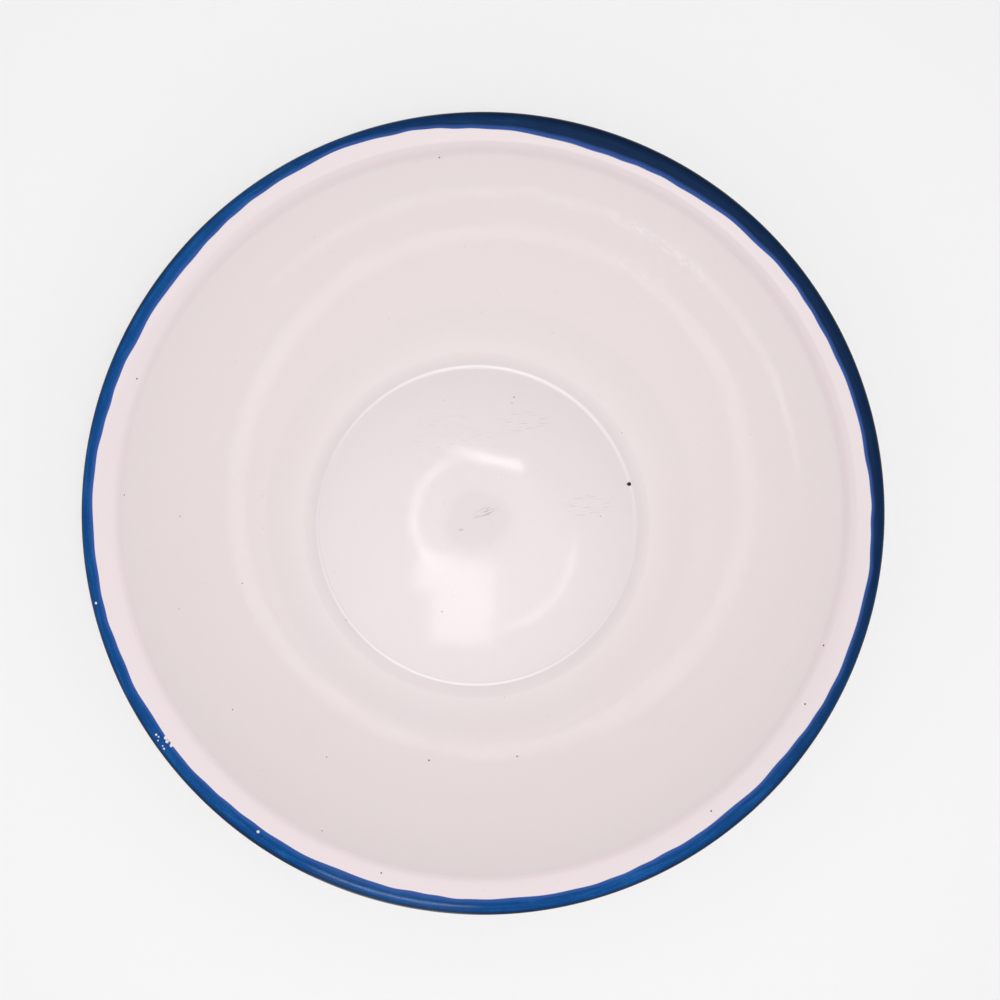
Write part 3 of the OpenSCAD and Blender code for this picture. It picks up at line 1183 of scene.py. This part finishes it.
class BOWL_OT_outer_glaze(bpy.types.Operator):
    """Turns the white coat of the outside, with the enamel that closes the throat behind the bead"""

    bl_idname = "bowl.outer_glaze"
    bl_label = "Outer white enamel"

    def execute(self, context):
        section = this_section()

        # The enamel in the throat meets the lip's underside in the curl's hollow and on the bead
        hollow_r = section.curl_r - section.steel
        hollow_meets = math.acos((section.curl_r - section.ground) / hollow_r)
        bead_meets = math.acos((section.curl_r + section.white_out) / section.bead_r)
        full_turn = section.curl_start + section.curl_r * 2 * math.pi
        upper_end = section.curl_start - hollow_r * math.sin(hollow_meets)
        lower_end = section.curl_start - section.bead_r * math.sin(bead_meets)
        hollow_end = full_turn - section.curl_r * hollow_meets
        bead_end = full_turn - section.curl_r * bead_meets
        pin_run = section.station_at_radius(OUTER_FLAWS[0].r, section.white_out).run
        upper = runs_between(section, 0, upper_end, 6 * MM, 14)
        hollow = runs_between(section, section.curl_end, hollow_end, 0.6 * MM, 12)
        outside = runs_between(section, section.curl_end, bead_end, 0.1 * MM, 4)
        lower = runs_between(section, 0, lower_end, 1.7 * MM, 5, [(pin_run, 1.4 * MM, 0.15 * MM)])

        # Out along the ground coat, back through the curl's hollow, on over the bead, home along the outside
        rows = [Row(s.run, -section.ground, 0.0, give=foot_calm(section, s)) for s in upper]
        rows += [Row(s.run, -section.steel, 0.0, give=BEAD_GIVE) for s in reversed(hollow)]
        rows += [Row(s.run, section.blue, 0.5, give=BEAD_GIVE) for s in outside]
        rows += [Row(s.run, section.white_out, foot_calm(section, s), give=foot_calm(section, s))
                 for s in reversed(lower)]
        turns = bearings(WHITE_TURNS, [(flaw.bearing, 1.2, 0.15) for flaw in OUTER_FLAWS])
        material = finish_for("outer_white_glaze", white_glaze, FOOT_SCUFFS, 0.0)
        piece = turned_coat("outer_white_coat", section, rows, turns, steady, OUTER_FLAWS,
                            section.white_out, material)
        stand_for(piece, "outer_white_enamel")
        return {"FINISHED"}


class BOWL_OT_blue_rim(bpy.types.Operator):
    """Turns the blue band over the bead, with its wandering brushed edge and its chips"""

    bl_idname = "bowl.blue_rim"
    bl_label = "Blue rim"

    def execute(self, context):
        rim = context.scene.bowl_rim
        coats = context.scene.bowl_coats
        section = this_section()
        edge = section.station_at_radius(rim.edge, section.white_in).run
        lip_turn = math.cos(math.radians(section.lip_rise))

        def wander(bearing):
            turn = math.radians(bearing)
            moved = sum(size * math.cos(count * turn - math.radians(phase))
                        for count, size, phase in EDGE_WAVES)
            moved += rim.tremble * math.sin(23 * turn + 1.5 * math.sin(7 * turn))
            moved += rim.tremble / 2 * math.sin(61 * turn + 2 * math.sin(11 * turn))
            return moved / lip_turn

        def slack(station):
            return max(0.0, 1 - (station.run - edge) / rim.reach)

        def thickness(station):
            share = min(1.0, (station.run - edge) / rim.feather)
            return coats.blue * (0.12 + 0.88 * math.sin(share * math.pi / 2))

        top = edge + rim.reach / 2
        feathered = [(edge + rim.feather / 2, rim.feather / 2, 0.1 * MM), (top, rim.reach / 2, 0.15 * MM)]
        front = runs_between(section, edge, section.curl_end, 0.35 * MM, 5, feathered)
        back = runs_between(section, edge, section.curl_end, 0.8 * MM, 10)
        rows = [Row(s.run, section.white_in + thickness(s), 1.0, slack(s), BEAD_GIVE) for s in front]
        rows += [Row(s.run, section.white_in, 0.0, slack(s), BEAD_GIVE) for s in reversed(back)]
        rows.append(rows[0])
        turns = bearings(BLUE_TURNS, [(215.4, 1.9, 0.07), (234.75, 0.45, 0.08), (193.08, 0.4, 0.08)])
        material = finish_for("blue_glaze", blue_glaze)
        piece = turned_coat("blue_rim_coat", section, rows, turns, wander, BLUE_FLAWS,
                            section.blue, material)
        stand_for(piece, "blue_rim_enamel")
        return {"FINISHED"}


class BOWL_OT_specks(bpy.types.Operator):
    """Scatters small specks of the ground coat over the white enamel of the inside and the outside"""

    bl_idname = "bowl.specks"
    bl_label = "Fired specks"

    def execute(self, context):
        specks = context.scene.bowl_specks
        section = this_section()
        tree = speck_tree()
        points = [section.point_on(bearing, r * MM, section.white_in) for bearing, r, _ in PLACED_SPECKS]
        radii = [radius * MM for _, _, radius in PLACED_SPECKS]
        placed = line_object("placed_specks", points, speck_radius=radii)
        nowhere = line_object("no_specks", [], speck_radius=[])
        for name, coat, spots in (("inner_specks", "inner_white_coat", placed),
                                  ("outer_specks", "outer_white_coat", nowhere)):
            piece = grown(name, tree, {
                "Coat": bpy.data.objects[coat], "Placed": spots, "Density": specks.density,
                "Smallest": specks.smallest, "Largest": specks.largest, "Seed": specks.seed,
                "Material": finish_for("ground_glaze", ground_glaze)})
            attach(piece, "root")
        bpy.data.objects.remove(placed)
        bpy.data.objects.remove(nowhere)
        return {"FINISHED"}


def round_sheet(name, radius, z):
    """A thin round sheet of the stage."""
    sides = 96
    points = [(radius * math.cos(2 * math.pi * i / sides), radius * math.sin(2 * math.pi * i / sides), z)
              for i in range(sides)]
    mesh = bpy.data.meshes.new(name)
    mesh.from_pydata(points, [], [tuple(range(sides))])
    return placed_object(name, mesh)


def studio_floor(radius):
    """A round pale floor."""
    floor = round_sheet("studio_floor", radius, 0)
    material, w, shader, place = new_material("pale_floor")
    grain = w.noise(place, 3 * MM, detail=3.0)
    w.dress(shader, Base_Color=bpy.context.scene.bowl_colours.floor,
            Roughness=w.ramp(grain, 0.3, 0.7, 0.75, 0.85), Specular_IOR_Level=0.1)
    floor.data.materials.append(material)


def soft_patch(w, place, box):
    """A mask that is 1 inside an oblong on the lamp's shade, with a soft border."""
    x, y, _ = w.parts(w.local(place, (box.x, box.y, SHADE_HEIGHT), math.radians(box.turn)))
    across = w.ramp(w.maths("ABSOLUTE", x), box.width / 2 + FACE_BORDER, box.width / 2 - FACE_BORDER)
    down = w.ramp(w.maths("ABSOLUTE", y), box.height / 2 + FACE_BORDER, box.height / 2 - FACE_BORDER)
    return w.times(across, down)


def lamp_shade():
    """The lamp's face and shade, seen only where the enamel mirrors them."""
    shade = round_sheet("lamp_shade", SHADE_RADIUS, SHADE_HEIGHT)
    material, w, shader, place = new_material("lamp_glow")

    def glow_of(ring):
        way = w.vector("SUBTRACT", place, (ring.x, ring.y, SHADE_HEIGHT))
        reach = w.size_of(way)
        band = w.ramp(w.gap(reach, ring.radius), ring.width, ring.width * 0.3)
        aim = w.facing(w.vector("NORMALIZE", way), ring.bearing)
        glow = w.plus(w.times(w.ramp(aim, ring.rise_from, ring.rise_to), ring.strength), ring.rest)
        return reach, w.times(glow, band)

    # The inner ring is brightest on the left, and the outer one shows only below on the right
    inner_reach, inner = glow_of(INNER_RING)
    outer_reach, outer = glow_of(OUTER_RING)
    cloud = w.times(w.ramp(outer_reach, *CLOUD_EDGE), w.ramp(inner_reach, *CLOUD_HOLLOW), 0.1)

    # A straight strip glows above them, and a wide soft glow lies below on the left
    x, y, _ = w.parts(w.local(place, STRIP_MIDDLE, math.radians(STRIP_TURN)))
    strip = w.times(w.ramp(w.maths("ABSOLUTE", y), *STRIP_SIDE), w.ramp(x, *STRIP_RIGHT),
                    w.ramp(x, *STRIP_LEFT))
    down = w.facing(w.vector("SUBTRACT", place, GLOW_MIDDLE), GLOW_BEARING)
    wide = w.plus(w.times(down, 1.5), 0.17, clamp=True)
    bright = w.plus(w.greatest(inner, outer, cloud, strip), wide)

    # The first mirror image of the lamp's face is toned down, as a photograph does with a very bright
    # light, and an image of that image keeps its full brightness
    face = w.greatest(*(soft_patch(w, place, box) for box in LAMP.values()))
    once = w.plus(bright, w.times(face, FACE_ONCE))
    twice = w.times(soft_patch(w, place, TWICE_MIRRORED), FACE_TWICE)
    depth = w.node("ShaderNodeLightPath").outputs["Ray Depth"]
    bright = w.plus(w.times(once, w.ramp(depth, 2.0, 1.0)), w.times(twice, w.ramp(depth, 1.0, 2.0)))
    w.dress(shader, Emission_Color=w.joined(bright, bright, bright), Emission_Strength=5.0,
            Base_Color=(0.0, 0.0, 0.0), Specular_IOR_Level=0.0)
    material.cycles.emission_sampling = "NONE"
    shade.data.materials.append(material)
    shade.visible_camera = False
    shade.visible_diffuse = False
    shade.visible_shadow = False


def studio_sky(strength):
    """An even sky, brighter overhead and on the lamp's side. The enamel mirrors only a part of it."""
    world = bpy.data.worlds.new("studio_sky")
    world.use_nodes = True
    w = Wiring(world.node_tree)
    _, y, z = w.parts(w.node("ShaderNodeTexCoord").outputs["Generated"])
    share = w.plus(w.times(w.greatest(z, 0.0), 0.7), w.times(y, -0.08))
    mirrored = w.node("ShaderNodeLightPath").outputs["Is Glossy Ray"]
    share = w.times(w.plus(share, 0.52), w.ramp(mirrored, 0.0, 1.0, 1.0, 0.35))
    w.dress(world.node_tree.nodes["Background"], Color=(1.0, 1.0, 1.0), Strength=w.times(share, strength))
    bpy.context.scene.world = world


def hang_softbox(name, box):
    """A soft light of the lamp, which the enamel doesn't mirror: it mirrors the face on the shade."""
    light = bpy.data.lights.new(name, "AREA")
    light.shape = "RECTANGLE"
    light.size = box.width
    light.size_y = box.height
    light.energy = LAMP_BRIGHTNESS * math.pi * box.width * box.height
    lamp = placed_object(name, light)
    lamp.location = (box.x, box.y, LAMP_HEIGHT)
    lamp.rotation_euler.z = math.radians(box.turn)
    lamp.visible_camera = False
    lamp.visible_glossy = False


class BOWL_OT_stage(bpy.types.Operator):
    """Lays the floor, hangs the lights and sets the camera over the bowl"""

    bl_idname = "bowl.stage"
    bl_label = "Studio"

    def execute(self, context):
        studio = context.scene.bowl_studio
        studio_floor(studio.floor_radius)
        lamp_shade()
        for name, box in LAMP.items():
            hang_softbox(name, box)
        studio_sky(studio.sky)
        lens = bpy.data.cameras.new("camera")
        lens.sensor_width = 36
        lens.lens = studio.lens
        lens.shift_x = studio.shift_x
        lens.shift_y = studio.shift_y
        camera = placed_object("camera", lens)
        camera.location = (studio.camera_x, studio.camera_y, studio.camera_z)
        context.scene.camera = camera
        context.scene.view_settings.view_transform = "Standard"
        return {"FINISHED"}


OPERATORS = (BOWL_OT_hidden_sheet, BOWL_OT_inner_glaze, BOWL_OT_outer_glaze, BOWL_OT_blue_rim,
             BOWL_OT_specks, BOWL_OT_stage)

SETTINGS = {
    "bowl_shape": BowlShape,
    "bowl_coats": BowlCoats,
    "bowl_rim": BowlRim,
    "bowl_colours": BowlColours,
    "bowl_specks": BowlSpecks,
    "bowl_studio": BowlStudio,
}


class BOWL_PT_panel(bpy.types.Panel):
    """Lists the bowl's sizes and colours, and the steps that build it"""

    bl_idname = "BOWL_PT_panel"
    bl_label = "Enamel Basin Bowl"
    bl_space_type = "VIEW_3D"
    bl_region_type = "UI"
    bl_category = "Bowl"

    def draw(self, context):
        for name, group in SETTINGS.items():
            box = self.layout.box()
            for label in group.__annotations__:
                box.prop(getattr(context.scene, name), label)
        for operator in OPERATORS:
            self.layout.operator(operator.bl_idname)


CLASSES = (*SETTINGS.values(), *OPERATORS, BOWL_PT_panel)


def register():
    for kind in CLASSES:
        bpy.utils.register_class(kind)
    for name, group in SETTINGS.items():
        setattr(bpy.types.Scene, name, PointerProperty(type=group))


def unregister():
    for name in SETTINGS:
        delattr(bpy.types.Scene, name)
    for kind in reversed(CLASSES):
        bpy.utils.unregister_class(kind)


def main():
    """Builds everything in order."""
    register()
    bpy.ops.bowl.hidden_sheet()
    bpy.ops.bowl.inner_glaze()
    bpy.ops.bowl.outer_glaze()
    bpy.ops.bowl.blue_rim()
    bpy.ops.bowl.specks()
    bpy.ops.bowl.stage()


if __name__ == "__main__":
    main()
